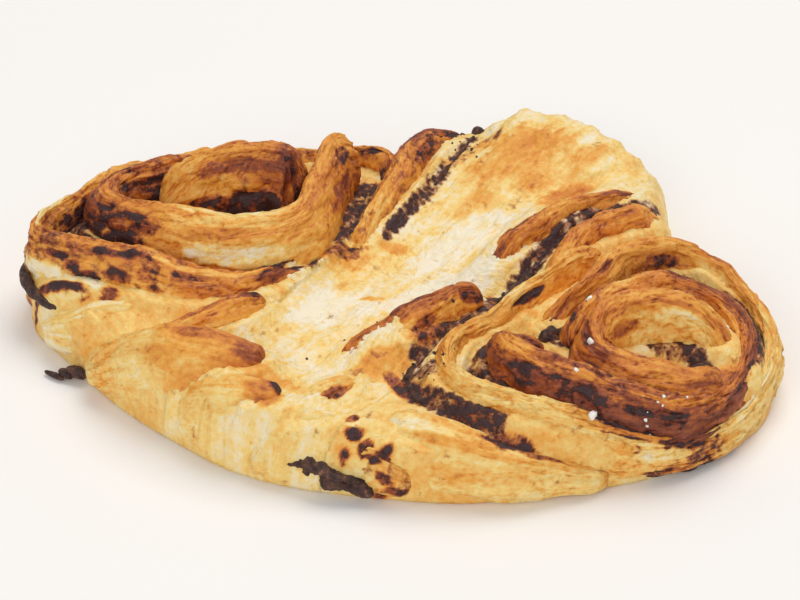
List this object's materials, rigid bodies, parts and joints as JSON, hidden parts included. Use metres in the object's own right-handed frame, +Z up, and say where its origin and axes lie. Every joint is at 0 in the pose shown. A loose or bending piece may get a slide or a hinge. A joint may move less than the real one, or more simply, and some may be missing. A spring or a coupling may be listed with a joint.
{
  "type": "franzbrotchen",
  "caption": "Flat laminated pastry with coiled ends, pressed along its middle so that the coils fan open around dark filling.",
  "frame": {"origin": "centre of the footprint, on the surface that the pastry rests on", "axes": "+X from one coiled end to the other, +Y along the pressed band towards its raised far end, +Z up"},
  "size_m": [0.1342, 0.1148, 0.0286],
  "materials": {
    "baked_dough": "satin",
    "chocolate_filling": "satin"
  },
  "bodies": {
    "root": {"dough": "baked_dough", "filling": "chocolate_filling"}
  },
  "joints": []
}
